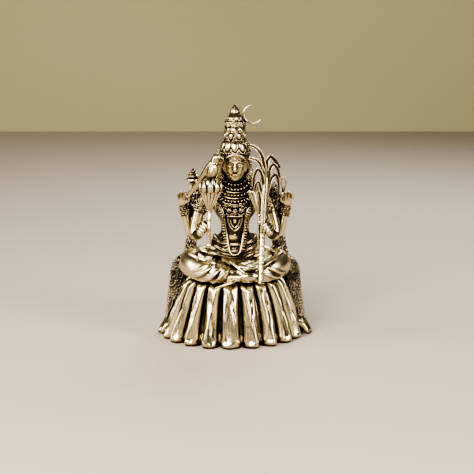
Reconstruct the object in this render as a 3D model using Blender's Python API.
"""A four-armed goddess seated cross-legged on a draped seat, cast in brass in one piece.

Run with: blender --background --python part.py
Metres, +Z up, the figure looks along -Y, and the origin is under the middle of the base.
Every form is a closed body, and one Boolean union makes the casting of them.
"""

import math

import bmesh
import bpy
from mathutils import Vector

# Driving sizes in metres
FIGURE_HEIGHT = 0.1634
SEAT_HEIGHT = 0.060
SEAT_HALF_WIDTH = 0.066
SEAT_HALF_DEPTH = 0.053
SEAT_TOP_HALF_WIDTH = 0.046
SEAT_TOP_HALF_DEPTH = 0.038
PLEATS = 20
PLEAT_DEPTH = 0.0085
HEM_TUCK = 0.0030
MANTLE_HALF_WIDTH = 0.0680
MANTLE_SET_BACK = 0.010
PAW_REACH = 0.0755
PAW_HEIGHT = 0.013
CANE_RADIUS = 0.0026
STEM_RADIUS = 0.0018
BASE_SINK = 0.004
MELT_GRAIN = 0.0006
MOST_TRIANGLES = 9800

# A millimetre on a figure this tall: the pose and carving are shares of its height
FIGURE_UNIT = FIGURE_HEIGHT / 163.4

BRASS = (0.60, 0.45, 0.20, 1.0)
BRASS_ROUGHNESS = 0.3
SIDES_OF_BODY = (-1, 1)

for leftover in list(bpy.data.objects):
    bpy.data.objects.remove(leftover)


def figure(x, y, z):
    """A point of the figure, from its own millimetres above the seat to metres above the floor."""
    return Vector((x, y, z)) * FIGURE_UNIT + Vector((0, 0, SEAT_HEIGHT))


def hidden_collection(name):
    """A collection for forms that the union reads and the model doesn't show."""
    collection = bpy.data.collections.new(name)
    bpy.context.scene.collection.children.link(collection)
    return collection


FORMS = hidden_collection("forms")


def add_object(name, mesh_builder, collection):
    """An object of the finished bmesh, with its faces turned outwards."""
    bmesh.ops.recalc_face_normals(mesh_builder, faces=mesh_builder.faces)
    bmesh.ops.triangulate(mesh_builder, faces=mesh_builder.faces)
    mesh = bpy.data.meshes.new(name)
    mesh_builder.to_mesh(mesh)
    mesh_builder.free()
    thing = bpy.data.objects.new(name, mesh)
    collection.objects.link(thing)
    return thing


def helper(thing):
    """Hides an object that only the union or a cut reads."""
    thing.hide_render = True
    thing.display_type = "WIRE"
    return thing


def cast(name, rings):
    """A closed form through rings of points, where a ring of one point is a tip."""
    builder = bmesh.new()
    loops = [[builder.verts.new(point) for point in ring] for ring in rings]
    for end in (0, -1):
        if len(loops[end]) > 1:
            middle = sum((corner.co for corner in loops[end]), Vector()) / len(loops[end])
            tip = [builder.verts.new(middle)]
            loops.insert(0, tip) if end == 0 else loops.append(tip)
    for lower, upper in zip(loops, loops[1:]):
        count = max(len(lower), len(upper))
        for i in range(count):
            j = (i + 1) % count
            corners = [lower[i % len(lower)], lower[j % len(lower)], upper[j % len(upper)], upper[i % len(upper)]]
            builder.faces.new(dict.fromkeys(corners))
    return helper(add_object(name, builder, FORMS))


def smooth_line(stations, steps):
    """Catmull-Rom values between stations, which are equally long tuples."""
    if steps == 1:
        return [tuple(s) for s in stations]
    padded = [stations[0], *stations, stations[-1]]
    line = []
    for a, b, c, d in zip(padded, padded[1:], padded[2:], padded[3:]):
        for k in range(steps):
            t = k / steps
            line.append(
                tuple(
                    0.5 * (2 * q + (r - p) * t + (2 * p - 5 * q + 4 * r - s) * t**2 + (3 * q - p - 3 * r + s) * t**3)
                    for p, q, r, s in zip(a, b, c, d)
                )
            )
    return line + [tuple(stations[-1])]


def tube(name, stations, sides=8, steps=1, up=(0, 0, 1), swell=None, blunt=0.6, width=None):
    """A form along a smooth line of (x, y, z, half width, half height) in figure millimetres.

    swell(share, angle) scales the radius, blunt is how far each end bulges, and width is a
    half width in metres that takes the place of the stations' own.
    """
    line = smooth_line(stations, steps)
    points = [figure(*s[:3]) for s in line]
    up = Vector(up)
    rings = []
    for i, (point, station) in enumerate(zip(points, line)):
        ahead = (points[min(i + 1, len(points) - 1)] - points[max(i - 1, 0)]).normalized()
        across = ahead.cross(up).normalized()
        lift = across.cross(ahead)
        half_width, half_height = (width, width) if width else (s * FIGURE_UNIT for s in station[3:5])
        if i == 0 and blunt:
            rings.append([point - ahead * blunt * half_height])
        ring = []
        for k in range(sides):
            angle = math.tau * k / sides
            scale = swell(i / (len(points) - 1), angle) if swell else 1
            ring.append(
                point + (across * math.cos(angle) * half_width + lift * math.sin(angle) * half_height) * scale
            )
        rings.append(ring)
        if i == len(points) - 1 and blunt:
            rings.append([point + ahead * blunt * half_height])
    return cast(name, rings)


def ball(name, centre, radii, sides=8, rows=4):
    """An ellipsoid of the figure, its poles up and down."""
    x, y, z = centre
    across, deep, high = radii
    rings = [[figure(x, y, z - high)]]
    for row in range(1, rows):
        tilt = math.pi * row / rows
        ring = []
        for k in range(sides):
            angle = math.tau * k / sides
            out = math.sin(tilt)
            ring.append(
                figure(
                    x + across * out * math.cos(angle),
                    y + deep * out * math.sin(angle),
                    z - high * math.cos(tilt),
                )
            )
        rings.append(ring)
    rings.append([figure(x, y, z + high)])
    return cast(name, rings)


def turned(name, centre_line, profile, sides=16, flute=None):
    """A form turned about a line: profile holds (height, half width, half depth) in figure millimetres.

    centre_line(height) gives the middle's (x, y), and flute(height, angle) scales the radius.
    """
    rings = []
    for height, half_width, half_depth in profile:
        x, y = centre_line(height)
        if half_width == 0:
            rings.append([figure(x, y, height)])
            continue
        ring = []
        for k in range(sides):
            angle = math.tau * k / sides
            scale = flute(height, angle) if flute else 1
            ring.append(
                figure(
                    x + half_width * scale * math.cos(angle),
                    y + half_depth * scale * math.sin(angle),
                    height,
                )
            )
        rings.append(ring)
    return cast(name, rings)


def mirrored(stations, side):
    """The stations with x turned to one side of the body, -1 for the viewer's left."""
    return [(s[0] * side, *s[1:]) for s in stations]


# The seat: a draped stool with deep rounded pleats, and an animal-skin mantle over its back and sides


def pleat_wave(angle):
    """0 in a gap between pleats and 1 on a crest, by the angle from the front middle in radians.

    The front pleats are a little broader than the others, so those at the sides stand further round.
    """
    away = abs(angle)
    spread = 0.052 * math.sqrt(abs(math.sin(away)))
    phase = (away - spread) * PLEATS / math.tau
    off_crest = abs(phase - round(phase)) / (0.43 if round(phase) == 0 else 0.40)
    return math.sqrt(max(0, 1 - off_crest * off_crest))


def pleat_seat():
    samples = PLEATS * 12
    levels = [0, 0.03, 0.07, 0.14, 0.25, 0.4, 0.55, 0.7, 0.82, 0.91, 0.96, 1.0]
    rings = []
    for level in [-BASE_SINK / SEAT_HEIGHT, *levels]:
        rise = max(level, 0)
        flare = (1 - rise) ** 0.88
        tuck = HEM_TUCK * max(0, 1 - rise / 0.08) ** 2
        arch = 0.005 * max(0, (rise - 0.85) / 0.15) ** 2
        depth = PLEAT_DEPTH * (0.62 + 0.38 * (1 - rise))
        ring = []
        for k in range(samples):
            turn = math.tau * k / samples
            angle = turn if turn < math.pi else turn - math.tau
            valley = depth * (1 - pleat_wave(angle)) + tuck + arch
            half_width = SEAT_TOP_HALF_WIDTH + (SEAT_HALF_WIDTH - SEAT_TOP_HALF_WIDTH) * flare - valley
            half_depth = SEAT_TOP_HALF_DEPTH + (SEAT_HALF_DEPTH - SEAT_TOP_HALF_DEPTH) * flare - valley
            ring.append(Vector((half_width * math.sin(angle), -half_depth * math.cos(angle), level * SEAT_HEIGHT)))
        rings.append(ring)
    return cast("pleated_seat", rings)


def mantle():
    """The skin laid over the seat behind the figure, up to the hips."""
    samples = 48
    profile = [
        (-BASE_SINK, 1.0),
        (0.22 * SEAT_HEIGHT, 1.0),
        (0.52 * SEAT_HEIGHT, 0.97),
        (0.83 * SEAT_HEIGHT, 0.94),
        (SEAT_HEIGHT, 0.925),
        (SEAT_HEIGHT + 6 * FIGURE_UNIT, 0.905),
        (SEAT_HEIGHT + 10 * FIGURE_UNIT, 0.875),
        (SEAT_HEIGHT + 14 * FIGURE_UNIT, 0.82),
        (SEAT_HEIGHT + 17.5 * FIGURE_UNIT, 0.73),
        (SEAT_HEIGHT + 20 * FIGURE_UNIT, 0.58),
    ]
    behind = SEAT_HALF_DEPTH - MANTLE_SET_BACK
    ahead = 0.7 * MANTLE_SET_BACK
    rings = []
    for height, share in profile:
        ring = []
        for k in range(samples):
            angle = math.tau * k / samples
            reach = behind if math.sin(angle) > 0 else ahead
            ring.append(
                Vector(
                    (
                        MANTLE_HALF_WIDTH * share * math.cos(angle),
                        MANTLE_SET_BACK + reach * share * math.sin(angle),
                        height,
                    )
                )
            )
        rings.append(ring)
    return cast("mantle", rings)


def paw(side):
    """Three long toes at the mantle's foot, reaching out over the floor."""
    for toe, (back, rise, length) in enumerate([(-3, 0.42, 0.93), (3, 0.62, 1.0), (9, 0.74, 0.95)]):
        start_x = MANTLE_HALF_WIDTH * 0.88
        reach = PAW_REACH * length - start_x
        y = MANTLE_SET_BACK + back / 1000
        thick = 0.0036
        rings = []
        for share, swell in [(0, 1), (0.45, 1.05), (0.8, 0.9), (0.95, 0.55)]:
            centre = Vector(
                (
                    side * (start_x + reach * share),
                    y - 0.002 * share,
                    PAW_HEIGHT * (rise + 0.35) * (1 - share) + thick * share,
                )
            )
            rings.append(
                [
                    centre
                    + Vector((0, thick * swell * math.cos(a), thick * 1.1 * swell * math.sin(a)))
                    for a in (math.tau * k / 7 for k in range(7))
                ]
            )
        rings.append([Vector((side * (start_x + reach), y - 0.002, thick * 0.8))])
        cast(f"paw_{side}_{toe}", rings)


# The figure's body


def fold_swell(count, depth, slant):
    """A radius scale that carves folds slanting round a limb."""
    return lambda share, angle: 1 + depth * math.sin(math.tau * (count * share + slant * angle / math.tau))


def legs():
    for side in SIDES_OF_BODY:
        tube(
            f"thigh_{side}",
            mirrored([(8, 2, 20, 12, 9), (24, -3, 20, 12, 10), (37, -10, 17, 12, 11)], side),
            sides=10,
            steps=2,
        )
        tube(
            f"shin_{side}",
            mirrored(
                [(41, -13, 15, 13, 14.5), (34, -24, 12.5, 12.5, 12), (20, -34, 10.5, 10.5, 9.5), (5, -40, 9.5, 8, 8)],
                side,
            ),
            sides=14,
            steps=4,
            swell=fold_swell(6, 0.055, -side),
        )
        tube(
            f"lap_fold_{side}",
            mirrored([(37, -14, 28, 2, 2), (24, -23, 21.5, 3, 2.4), (6, -31, 16, 2, 2)], side),
            sides=6,
            steps=2,
        )
    tube("near_foot", [(-3, -38, 17, 3, 3), (6, -43, 14, 4.5, 3), (14, -44, 15, 3.5, 2.5), (20, -42, 16, 2.5, 2)], 8, 2)
    tube("cloth_end", [(4, -43, 9, 4, 3), (-6, -46.5, 4, 4.6, 2.2), (-16, -47, -0.5, 1.2, 1.2)], 6, 2)
    ball("lap", (0, -20, 12), (26, 22, 9), 12, 5)


def torso():
    profile = [
        (12, 20, 14, -2),
        (20, 20.5, 15, -2),
        (27, 20.5, 14.5, -2),
        (33, 20, 13, -2),
        (38, 17.5, 11.5, -3),
        (42, 13.8, 10, -3.5),
        (46, 13.3, 9.6, -4),
        (52, 13.6, 10, -4),
        (56, 15.4, 11, -4),
        (61, 19, 12, -4),
        (66, 22, 12.5, -3.5),
        (71, 23.5, 12, -3),
        (77, 24, 10.5, -1.5),
        (82, 20, 9.5, -0.5),
        (86, 12, 9, -1),
        (90, 8.4, 8, -2),
        (98, 7.4, 7.4, -4),
    ]
    depth_at = {height: y for height, _, _, y in profile}
    turned("torso", lambda height: (0, depth_at[height]), [row[:3] for row in profile], 16)
    for side in SIDES_OF_BODY:
        ball(f"breast_{side}", (9 * side, -11.5, 64.5), (8, 7.5, 7.5), 12, 8)


def head():
    profile = [
        (94.2, 3.5, -15.5, -6),
        (95.8, 6.2, -16.8, -2),
        (99, 9.2, -17.2, 3),
        (103, 11.6, -17.6, 6),
        (108, 12.5, -18, 7.5),
        (113, 12.5, -18.2, 8),
        (118, 11.5, -17.8, 7.5),
        (123, 9.5, -15, 6),
    ]
    middle = {height: (0, (front + back) / 2) for height, _, front, back in profile}
    rows = [(height, half, (back - front) / 2) for height, half, front, back in profile]
    turned("head", lambda height: middle[height], rows, 16)
    tube("nose", [(0, -17.2, 111.5, 1, 0.8), (0, -18.6, 107.6, 1.3, 1.4), (0, -19.3, 104.6, 2, 1.8)], 6)
    tube("lips", [(-3, -16.8, 100.8, 0.7, 0.9), (0, -18.2, 100.2, 0.9, 1.3), (3, -16.8, 100.8, 0.7, 0.9)], 6)
    tube("chin", [(-2, -14.5, 96.6, 2, 2), (2, -14.5, 96.6, 2, 2)], 6)
    tube("nape", [(0, 3, 112, 10, 7), (0, 3.5, 98, 11.5, 6.5), (0, 4, 84, 16, 7)], 12, 2, up=(0, 1, 0))
    tube("third_eye", [(0, -17.6, 113.6, 0.8, 0.8), (0, -17.6, 116, 0.8, 0.8)], 5, up=(0, 1, 0))
    for side in SIDES_OF_BODY:
        tube(
            f"eye_{side}",
            mirrored([(1.9, -16.8, 108.5, 0.5, 0.6), (4.9, -16.5, 108.7, 1.2, 1.5), (8, -14, 108.6, 0.5, 0.6)], side),
            6,
        )
        tube(
            f"brow_{side}",
            mirrored([(1.6, -17.8, 111.2, 0.5, 0.5), (5, -16.8, 113.6, 0.6, 0.6), (9.6, -12.6, 111.6, 0.4, 0.4)], side),
            5,
            2,
        )
        tube(f"ear_{side}", mirrored([(12, -4, 111, 1, 2), (12.6, -4.5, 106, 1.2, 2.2), (12.2, -5, 101, 1, 1.6)], side), 6, up=(0, 1, 0))
        ball(f"earring_{side}", (12.6 * side, -7.5, 98.6), (2.8, 2.8, 3.2), 8, 5)
        for petal in range(6):
            angle = math.tau * petal / 6 + 0.3
            ball(
                f"hair_flower_{side}_{petal}",
                ((12.2 + 2 * math.cos(angle)) * side, -3.5, 119 + 2.4 * math.sin(angle)),
                (1.9, 2.4, 1.9),
                8,
                5,
            )
        tube(
            f"side_hair_{side}",
            mirrored([(8, 0, 120, 3.5, 6), (10.6, 0.5, 110, 4.5, 6), (12, 2, 98, 5.5, 6), (18, 4, 86, 7, 6)], side),
            10,
            3,
            up=(0, 1, 0),
        )


def lean(height):
    """The crown's axis leans back as it rises from the forehead."""
    return (0, -4.4 + 0.085 * (height - 118))


def crown():
    tiers = [
        (116.8, 11.5),
        (117.4, 13.2),
        (119.2, 13.2),
        (119.8, 12.0),
        (126.2, 11.8),
        (127.6, 10.4),
        (138.2, 9.6),
        (139.2, 10.3),
        (141.6, 10.3),
        (142.4, 9.2),
        (146.8, 8.8),
        (147.4, 9.2),
        (149.6, 8.2),
        (150.4, 7.2),
        (152.2, 7.4),
        (153.0, 5.2),
        (154.6, 4.6),
        (155.4, 5.0),
        (163.4, 0),
    ]
    turned("crown", lean, [(z, r, r) for z, r in tiers], 18)
    lobes = 11
    for lobe in range(lobes):
        angle = math.tau * lobe / lobes - math.pi / 2
        x, y = lean(122)
        ball(
            f"crown_lobe_{lobe}",
            (x + 12.2 * math.cos(angle), y + 12.2 * math.sin(angle), 122.8),
            (2.7, 2.7, 3.9),
            6,
            4,
        )
    for rank, (height, radius, size, count) in enumerate([(132.6, 9.6, 2.9, 8), (144.4, 8.4, 1.9, 8)]):
        for boss in range(count):
            angle = math.tau * (boss + 0.5 * rank) / count - math.pi / 2
            x, y = lean(height)
            ball(
                f"crown_boss_{rank}_{boss}",
                (x + radius * math.cos(angle), y + radius * math.sin(angle), height),
                (size * 0.75, size * 0.75, size),
                6,
                4,
            )
    moon_middle, moon_radius, steps = (16.6, -3, 153.6), 8.6, 12
    horns = []
    for step in range(steps + 1):
        share = step / steps
        angle = math.radians(100 + 225 * share)
        thick = 0.35 + 0.95 * math.sin(math.pi * share)
        horns.append(
            (
                moon_middle[0] + moon_radius * math.cos(angle),
                moon_middle[1],
                moon_middle[2] + moon_radius * math.sin(angle),
                thick,
                thick,
            )
        )
    tube("crescent", horns, 5, up=(0, 1, 0))
    tube("crescent_root", [(4, -2, 148, 2, 2), (9.6, -3, 148.6, 1.6, 1.6)], 6)


def finger_fan(name, palm, spread, tilt, length, curl):
    """Four fingers and a thumb from a palm, rising along tilt."""
    x, y, z = palm
    for finger in range(4):
        step = finger - 1.5
        root = (x + spread[0] * step, y + spread[1] * step, z)
        knuckle = [root[i] + tilt[i] * length * 0.55 for i in range(3)]
        tip = [root[i] + tilt[i] * length + curl[i] for i in range(3)]
        tube(
            f"{name}_finger_{finger}",
            [(*root, 1.3, 1.3), (*knuckle, 1.25, 1.25), (*tip, 0.9, 0.9)],
            5,
            up=(0.1, 1, 0.1),
        )


def band(name, start, end, radius, thick, sides=10):
    """A bangle or armlet round a limb, as a short stepped drum between two points."""
    first, last = Vector(start), Vector(end)
    along = last - first
    stations = []
    for share, grow in [(0, 0.8), (0.12, 1), (0.42, 1), (0.5, 0.86), (0.58, 1), (0.88, 1), (1, 0.8)]:
        point = first + along * share
        stations.append((*point, (radius + thick) * grow, (radius + thick) * grow))
    tube(name, stations, sides, up=(0, 1, 0.2), blunt=0)


def arms():
    for side in SIDES_OF_BODY:
        tube(
            f"front_arm_{side}",
            mirrored(
                [
                    (20, -1, 76, 5.5, 5.5),
                    (28, -1, 72, 5.6, 5.8),
                    (34, -3, 60, 5.2, 5.2),
                    (38, -5, 46, 4.9, 4.9),
                    (37, -8, 39.5, 4.6, 4.6),
                    (33.5, -15, 43.5, 3.6, 3.6),
                    (30.5, -20, 48, 3.1, 3.1),
                ],
                side,
            ),
            8,
            2,
            up=(0, 1, 0.3),
        )
        band(f"armlet_{side}", (30 * side, -2, 71.5), (33.6 * side, -3.2, 61), 5.6, 1.7)
        band(f"front_bangle_{side}", (35 * side, -12.4, 41.4), (33 * side, -16, 45), 3.6, 1)
        tube(
            f"rear_arm_{side}",
            mirrored(
                [
                    (18, 5, 79, 5, 5),
                    (29, 6, 72, 4.8, 4.8),
                    (37, 6, 52, 4.4, 4.4),
                    (41, 4, 39, 4.4, 4.4),
                    (44.5, 4, 47, 4, 4),
                    (48.2, 5, 62, 3.2, 3.2),
                ],
                side,
            ),
            8,
            2,
            up=(0, 1, 0.3),
        )
        band(f"rear_bangle_{side}", (46.8 * side, 4.6, 55.6), (48.8 * side, 5, 66.4), 3.3, 1.5)
        rear_hand(side)
        grip(side)


def rear_hand(side):
    """An open raised hand: cupped palm, four fingers up, thumb towards the head."""
    tube(
        f"rear_palm_{side}",
        mirrored([(48.8, 5, 65.4, 3.2, 2.8), (49, 4, 69.4, 5.2, 3), (49, 3.5, 74.5, 5.2, 2.6)], side),
        8,
        up=(0, 1, 0),
    )
    finger_fan(f"rear_{side}", (49 * side, 3.5, 74), (2.8 * side, 0), (0, -0.06, 1), 8, (0, -1.6, -0.5))
    tube(
        f"rear_thumb_{side}",
        mirrored([(46, 3, 70, 1.7, 1.7), (43.4, 0.5, 73.5, 1.5, 1.5), (43.9, -1.4, 77, 1.2, 1.2)], side),
        5,
        up=(0, 1, 0),
    )


def grip(side):
    """A front hand closed round the shaft that it holds."""
    palm = (28.8 * side, -21.5, 49)
    ball(f"grip_palm_{side}", palm, (5.2, 5, 6.2), 10, 6)
    shaft_x, shaft_y = -24.4 if side < 0 else 25.4, -25.4
    for finger in range(4):
        z = 44.6 + 2.6 * finger
        tube(
            f"grip_finger_{side}_{finger}",
            [
                (palm[0] + 3 * side, palm[1] - 2.5, z + 0.6, 1.3, 1.3),
                (shaft_x + 1.6 * side, shaft_y - 3.4, z + 0.2, 1.35, 1.35),
                (shaft_x - 3.2 * side, shaft_y - 2.0, z - 0.6, 1.1, 1.1),
            ],
            5,
            2,
        )
    tube(
        f"grip_thumb_{side}",
        [(palm[0], palm[1], 52, 1.6, 1.6), (shaft_x - 2.4 * side, shaft_y, 54, 1.2, 1.2)],
        5,
    )


# What the figure wears


def necklaces():
    strands = [
        # reach to each side, height at the shoulder, drop at the middle, depth there, thickness
        (11, 93, 88.6, -12.5, 1.2),
        (13.5, 92, 84.3, -14.5, 1.2),
        (16, 91, 78.7, -16.5, 1.3),
        (18.5, 89, 73.3, -17.5, 1.4),
    ]
    for number, (reach, high, low, deep, thick) in enumerate(strands):
        stations = []
        for step in range(-4, 5):
            share = step / 4
            bow = 1 - share * share
            stations.append(
                (
                    reach * math.sin(share * math.pi / 2),
                    -5 + (deep + 5) * bow**0.7,
                    high + (low - high) * bow,
                    thick,
                    thick,
                )
            )
        tube(f"necklace_{number}", stations, 6, 1, up=(0, 1, 0.5))
    chain = [
        (-17.5, -11, 72, 1.6, 1.4),
        (-11.5, -18.4, 65, 1.6, 1.4),
        (-9.8, -15.5, 55, 1.5, 1.4),
        (-8.4, -13.6, 42, 1.5, 1.4),
        (-6.4, -17.4, 29, 1.4, 1.4),
        (0, -19, 24, 1.4, 1.4),
    ]
    whole = chain + mirrored(chain[:-1], -1)[::-1]
    tube("long_chain", whole, 6, 2, up=(0, 1, 0.2))
    tube("breast_pendant", [(0, -14, 70, 3, 2.5), (0, -14.5, 65, 7.2, 4), (0, -14, 58, 5, 3)], 6, 1, up=(0, 1, 0))
    tube("belly_pendant", [(0, -13, 56, 5, 2), (0, -13.6, 50, 3.4, 2), (0, -13, 44, 0.8, 1.4)], 6, 1, up=(0, 1, 0))


def girdle():
    """Three belts round the hips, lower in front."""
    sides = 18
    belts = [(37, 19.5, 13, 5, 2.2), (32, 21, 15.5, 6, 2.2), (27, 21.8, 17.5, 7, 2)]
    for number, (height, half_width, half_depth, droop, thick) in enumerate(belts):
        rings = []
        for lift, inset in [(-thick, 2.5), (-thick * 0.6, 0), (thick * 0.6, 0), (thick, 2.5)]:
            ring = []
            for k in range(sides):
                angle = math.tau * k / sides
                front = max(0, -math.sin(angle))
                ring.append(
                    figure(
                        (half_width - inset) * math.cos(angle),
                        -2 + (half_depth - inset) * math.sin(angle),
                        height + lift - droop * front**1.5,
                    )
                )
            rings.append(ring)
        cast(f"belt_{number}", rings)
    tube("belt_tab", [(0, -18, 20, 3.4, 1.4), (0, -21, 15, 3, 1.4), (0, -26, 12, 2.4, 1.2)], 6, up=(0, 1, 0))


def shoulder_falls():
    """The mantle's two ends, hanging behind the arms down to the seat."""
    for side in SIDES_OF_BODY:
        tube(
            f"fall_{side}",
            mirrored(
                [
                    (20, 7, 84, 5, 4),
                    (33, 8, 84, 5, 4),
                    (38.5, 9, 72, 5, 4),
                    (41, 11, 56, 5, 4),
                    (41.5, 12, 36, 5.2, 4.2),
                    (44, 13, 14, 7, 6),
                ],
                side,
            ),
            8,
            2,
            up=(0, 1, 0),
        )
    tube(
        "plait",
        [(0, 5, 120, 6, 5), (0, 10, 108, 6.5, 4.5), (0, 10.5, 92, 6, 4), (0, 10, 72, 5, 4), (0, 9.5, 52, 3.4, 3)],
        8,
        2,
        up=(0, 1, 0),
        swell=lambda share, angle: 1 + 0.1 * math.cos(math.tau * 6 * share),
    )


# What the hands hold


def flower_arrows():
    """The viewer's left: a stem with a fan of shafts, a lotus on it, and a parrot on the lotus."""
    tube("stem", [(-24.4, -25.4, 35, 1, 1), (-24.2, -25, 50, 1, 1), (-23.6, -22, 67, 1, 1)], 7, width=STEM_RADIUS)
    ball("stem_foot", (-24.4, -25.4, 35), (2.2, 2.2, 3), 7, 4)
    ball("stem_collar", (-23.7, -22, 66.4), (3, 3, 1.8), 10, 6)

    def middle(height):
        return (-23.7 + 0.085 * (height - 66), -22 + 0.11 * (height - 66))

    turned(
        "arrow_fan",
        middle,
        [(65.4, 2.4, 2.4), (69.6, 4, 3.2), (74.4, 7.1, 4.6), (79.3, 9.2, 5.4), (83.6, 9.8, 5.6), (85, 7, 4.4)],
        42,
        lambda height, angle: 1 + 0.09 * math.cos(14 * angle),
    )
    petals = 8
    for petal in range(petals):
        angle = math.tau * petal / petals - math.pi / 2
        x, y = middle(88)
        x -= 0.6
        out = Vector((math.cos(angle), math.sin(angle)))
        tube(
            f"lotus_petal_{petal}",
            [
                (x + 3.5 * out.x, y + 3 * out.y, 84, 2, 1.4),
                (x + 8.6 * out.x, y + 6.4 * out.y, 88, 3.6, 1.9),
                (x + 8 * out.x, y + 6 * out.y, 93.4, 2.6, 1.5),
            ],
            6,
            up=(out.x, out.y, 0.1),
        )
    ball("lotus_heart", (*middle(90), 90.5), (7.4, 5.6, 5), 10, 5)
    tube(
        "parrot",
        [
            (-13.6, -17.4, 114.4, 2.6, 3),
            (-16.2, -17.4, 113.8, 3.8, 4.1),
            (-18.4, -17, 109, 3.8, 4.2),
            (-20.4, -17, 103.4, 5.2, 5.8),
            (-22.8, -16.6, 97, 4.4, 5),
            (-24.4, -16, 92.6, 2, 2.4),
        ],
        8,
        2,
        up=(0, 1, 0),
    )
    tube("parrot_beak", [(-13, -17.6, 114.4, 1.6, 1.8), (-10.8, -17.8, 112.8, 0.9, 1), (-10.8, -17.8, 110.8, 0.3, 0.3)], 5, up=(0, 1, 0))
    tube("parrot_wing", [(-18, -20.6, 109, 1.6, 1), (-20.6, -22.2, 102.6, 3.6, 1.4), (-24, -20, 95.4, 1, 0.8)], 6, 2, up=(0, 1, 0))
    tube(
        "parrot_tail",
        [(-19.6, -16, 110.6, 1.8, 1.8), (-28, -12.5, 100.5, 2.2, 2), (-36, -8, 87.5, 1.7, 1.6), (-44.6, -1.6, 75, 1.2, 1.2)],
        6,
        2,
        up=(0, 1, 0),
    )


def leaf(name, points, half_width):
    """A cane leaf: a keeled blade that narrows to its tip."""
    last = len(points) - 1
    stations = [
        (*point, half_width * (1 - 0.3 * (i / last) ** 2), 1.25 - 0.2 * i / last) for i, point in enumerate(points)
    ]
    tube(name, stations, 6, 3, up=(0, 1, 0))


def sugarcane():
    """The viewer's right: a jointed cane with arching leaves, and a ribbed fan with a beaded stem beside it."""
    foot, hand, top = (24, -47, 2.5), (25.6, -26, 48), (27.6, -20, 90)
    joints = 6
    stations = []
    for joint in range(joints):
        for share, grow in [(0, 1.0), (0.06, 1.22), (0.14, 1.0)]:
            t = (joint + share) / joints
            stations.append((*(a + (b - a) * t for a, b in zip(foot, hand)), grow, grow))
    lower = [(*s[:3], s[3] * CANE_RADIUS / FIGURE_UNIT, s[4] * CANE_RADIUS / FIGURE_UNIT) for s in stations]
    tube("cane_lower", lower + [(*hand, CANE_RADIUS / FIGURE_UNIT, CANE_RADIUS / FIGURE_UNIT)], 8, up=(0, 1, 0), blunt=0)
    upper_share = 0.8 * CANE_RADIUS / FIGURE_UNIT
    tube(
        "cane_upper",
        [(25.5, -26.6, 46, upper_share, upper_share), (26.3, -23, 68, upper_share, upper_share), (*top, upper_share, upper_share)],
        8,
        up=(0, 1, 0),
    )
    leaves = [
        ([(27.6, -20, 84), (27.2, -20, 102), (25.4, -19, 114.5), (21.9, -18, 121.6), (17.2, -16, 125.2), (12.4, -14, 126)], 1.5),
        ([(27.2, -20.4, 80), (26.9, -20, 95), (24.8, -20, 105.6), (20.4, -19, 112.6), (12.6, -17, 114.8)], 1.4),
        ([(26.8, -21, 80), (26, -21.6, 93), (23.6, -21.6, 102), (20.4, -21, 104), (17.6, -20.4, 96), (17.2, -20, 88)], 1.3),
        ([(26.4, -21.6, 74), (24.6, -22, 84), (22, -22, 92.4), (19.4, -21.4, 90), (17.6, -20, 80)], 1.3),
        ([(28, -19.6, 84), (28.6, -18.6, 100), (30, -17, 111.6), (33.3, -16, 115.6), (37.4, -14, 111.6), (41.4, -12, 105)], 1.5),
        ([(28, -19.6, 80), (30.2, -18, 94), (32, -17, 103), (35.2, -16, 108.4), (39.3, -15, 104.6), (41.4, -13, 96)], 1.4),
        ([(27.6, -20, 74), (31, -18, 88), (34.6, -16.6, 97), (38.4, -15, 98.4), (40.4, -13, 91), (40.8, -11, 80)], 1.3),
    ]
    for number, (points, half_width) in enumerate(leaves):
        leaf(f"cane_leaf_{number}", points, half_width)
    turned(
        "side_fan",
        lambda height: (22.6 - 0.22 * (height - 63), -20.6 + 0.12 * (height - 63)),
        [(62, 1.8, 1.6), (70, 4, 2.6), (78, 6.4, 3.2), (83, 5.8, 3), (85, 2.6, 2)],
        14,
        lambda height, angle: 1 + (0.08 if math.cos(7 * angle) > 0 else -0.08),
    )
    tube("side_stem", [(22.6, -20.8, 63, 1, 1), (22.4, -23, 52, 1, 1), (22, -24.6, 32, 1, 1)], 6, width=STEM_RADIUS * 0.8)
    for bead in range(4):
        z = 62 - 3.2 * bead
        ball(f"side_stem_bead_{bead}", (22.5, -21 - 0.18 * (62 - z), z), (2.1, 2.1, 1.5), 6, 4)


def rear_attributes():
    """A goad with a tiered head by the left rear hand, and a noose ring in the right one."""
    tube("goad_shaft", [(-45, 1.6, 72, 1.5, 1.5), (-42, 2.6, 81, 1.8, 1.8), (-39.6, 3.4, 89, 1.8, 1.8)], 6, up=(0, 1, 0))
    turned(
        "goad_head",
        lambda height: (-39.6 + 0.04 * (height - 88), 3.6),
        [
            (86.6, 2.6, 2.6),
            (87.6, 3.6, 3.6),
            (89.2, 3.6, 3.6),
            (90, 6, 6),
            (92.6, 6.6, 6.6),
            (93.4, 4.6, 4.6),
            (94.6, 5.4, 5.4),
            (97, 4.8, 4.8),
            (98, 3, 3),
            (99.6, 3.2, 3.2),
            (101, 1.6, 1.6),
            (103.2, 0, 0),
        ],
        16,
    )
    ring = []
    for step in range(11):
        angle = math.tau * step / 10 - math.pi / 2
        ring.append((46 + 2.4 * math.cos(angle), 3, 88 + 5.6 * math.sin(angle), 0.9, 0.9))
    tube("noose_ring", ring[:-1] + [(46.3, 3, 82.6, 0.9, 0.9)], 5, up=(0, 1, 0))
    tube("noose_shaft", [(45, 2, 70, 1.6, 1.6), (45.6, 2.6, 78, 1.8, 1.8), (46, 3, 83.4, 1.5, 1.5)], 6, up=(0, 1, 0))


def floor_cutter():
    """A block that trims everything flat at the floor."""
    builder = bmesh.new()
    bmesh.ops.create_cube(builder, size=1)
    block = add_object("floor_cutter", builder, bpy.context.scene.collection)
    block.scale = (4 * PAW_REACH, 4 * PAW_REACH, 0.1)
    block.location.z = -0.05
    return helper(block)


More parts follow.
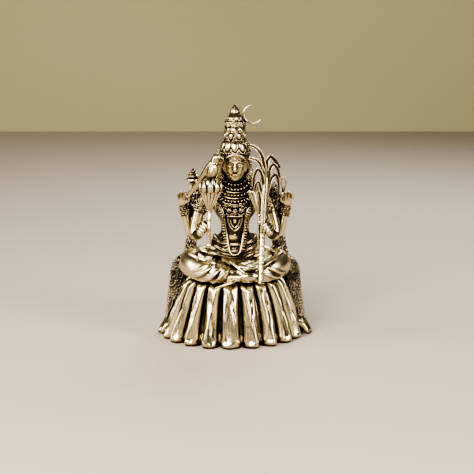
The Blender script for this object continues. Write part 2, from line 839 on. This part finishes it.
def cast_brass(thing):
    """Gives the casting its brass."""
    material = bpy.data.materials.new("brass")
    material.use_nodes = True
    shader = material.node_tree.nodes["Principled BSDF"]
    shader.inputs["Base Color"].default_value = BRASS
    shader.inputs["Metallic"].default_value = 1.0
    shader.inputs["Roughness"].default_value = BRASS_ROUGHNESS
    thing.data.materials.append(material)


def small_shells(builder):
    """The faces of every closed shell but the largest."""
    shells = []
    seen = set()
    for first in builder.faces:
        if first in seen:
            continue
        seen.add(first)
        shell = [first]
        for face in shell:
            for edge in face.edges:
                for other in edge.link_faces:
                    if other not in seen:
                        seen.add(other)
                        shell.append(other)
        shells.append(shell)
    shells.sort(key=len)
    return [face for shell in shells[:-1] for face in shell]


def mend(builder):
    """Closes the few places where simplifying pinched a thin form to nothing."""
    for _ in range(6):
        bmesh.ops.delete(builder, geom=small_shells(builder), context="FACES")
        pinched = {corner for edge in builder.edges if len(edge.link_faces) != 2 for corner in edge.verts}
        pinched |= {corner for corner in builder.verts if not corner.is_manifold}
        if not pinched:
            return
        bmesh.ops.delete(builder, geom=list(pinched), context="VERTS")
        rims = [edge for edge in builder.edges if edge.is_boundary]
        bmesh.ops.holes_fill(builder, edges=rims, sides=0)
        bmesh.ops.triangulate(builder, faces=builder.faces)


def one_casting(name):
    """Melts every form into one closed body, simplified, with its underside flat."""
    builder = bmesh.new()
    for form in FORMS.objects:
        builder.from_mesh(form.data)
    melted = helper(add_object("melted", builder, FORMS))
    melt = melted.modifiers.new("melt together", "REMESH")
    melt.mode = "VOXEL"
    melt.voxel_size = MELT_GRAIN
    bpy.context.view_layer.update()
    squares = len(melted.evaluated_get(bpy.context.evaluated_depsgraph_get()).data.polygons)
    simplify = melted.modifiers.new("simplify", "DECIMATE")
    simplify.ratio = MOST_TRIANGLES / (2 * squares)
    bpy.context.view_layer.update()
    simplified = melted.evaluated_get(bpy.context.evaluated_depsgraph_get())
    builder = bmesh.new()
    builder.from_mesh(simplified.data)
    mend(builder)
    for axis in (0, 1):
        reach = [corner.co[axis] for corner in builder.verts]
        middle = (min(reach) + max(reach)) / 2
        for corner in builder.verts:
            corner.co[axis] -= middle
    bpy.data.objects.remove(melted)
    casting = add_object(name, builder, bpy.context.scene.collection)
    cast_brass(casting)
    trim = casting.modifiers.new("flat underside", "BOOLEAN")
    trim.operation = "DIFFERENCE"
    trim.object = floor_cutter()


def main():
    pleat_seat()
    mantle()
    for side in SIDES_OF_BODY:
        paw(side)
    legs()
    torso()
    head()
    crown()
    arms()
    necklaces()
    girdle()
    shoulder_falls()
    flower_arrows()
    sugarcane()
    rear_attributes()

    one_casting("statue")


main()
